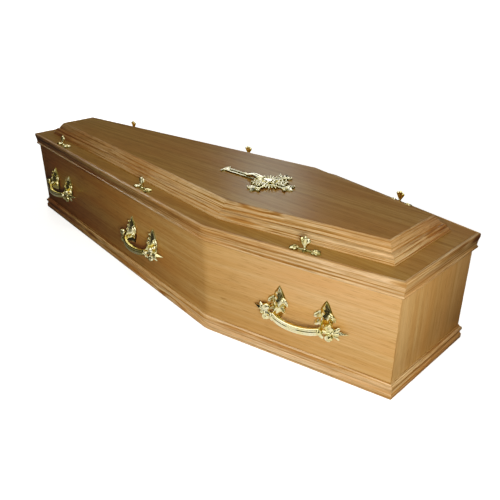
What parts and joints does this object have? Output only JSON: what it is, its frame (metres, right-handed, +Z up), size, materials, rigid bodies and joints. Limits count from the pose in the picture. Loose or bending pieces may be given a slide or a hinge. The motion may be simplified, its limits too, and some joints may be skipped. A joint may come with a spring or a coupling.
{
  "type": "wooden coffin",
  "caption": "Shouldered oak-veneered coffin with a moulded raised lid, plinth, bow handles, lid screws and a crucifix.",
  "frame": {"origin": "on the floor under the middle of the box, at the centre of the underside", "axes": "+X along the coffin towards the head end, +Y to the occupant's right side, +Z up"},
  "size_m": [1.903, 0.6506, 0.4222],
  "materials": {
    "oak_veneer": "satin lacquered oak veneer with fine straight grain",
    "oak_veneer_top": "satin lacquered oak veneer with grain along the length",
    "oak_moulding": "satin lacquered solid oak moulding with open grain",
    "base_panel": "bare board, unlacquered",
    "brass": "bright electro-brassed casting"
  },
  "bodies": {
    "root": {"left_side_board": "oak_veneer", "right_side_board": "oak_veneer", "head_board": "oak_veneer", "foot_board": "oak_veneer", "lid_board": "oak_veneer", "raised_panel": "oak_veneer_top", "base_board": "base_panel", "plinth_left": "oak_moulding", "lid_moulding_left": "oak_moulding", "plinth_head": "oak_moulding", "lid_moulding_head": "oak_moulding", "plinth_right": "oak_moulding", "lid_moulding_right": "oak_moulding", "plinth_foot": "oak_moulding", "lid_moulding_foot": "oak_moulding", "raised_moulding_foot_left": "oak_moulding", "raised_moulding_head_left": "oak_moulding", "raised_moulding_head_end": "oak_moulding", "raised_moulding_head_right": "oak_moulding", "raised_moulding_foot_right": "oak_moulding", "raised_moulding_foot_end": "oak_moulding", "handle_left_head": "brass", "handle_left_middle": "brass", "handle_left_foot": "brass", "handle_right_head": "brass", "handle_right_middle": "brass", "handle_right_foot": "brass", "screw_plate_left_head": "brass", "screw_plate_left_middle": "brass", "screw_plate_left_foot": "brass", "screw_plate_right_head": "brass", "screw_plate_right_middle": "brass", "screw_plate_right_foot": "brass", "lid_screw_left_head": "brass", "lid_screw_left_middle": "brass", "lid_screw_left_foot": "brass", "lid_screw_right_head": "brass", "lid_screw_right_middle": "brass", "lid_screw_right_foot": "brass", "crucifix": "brass"}
  },
  "joints": []
}
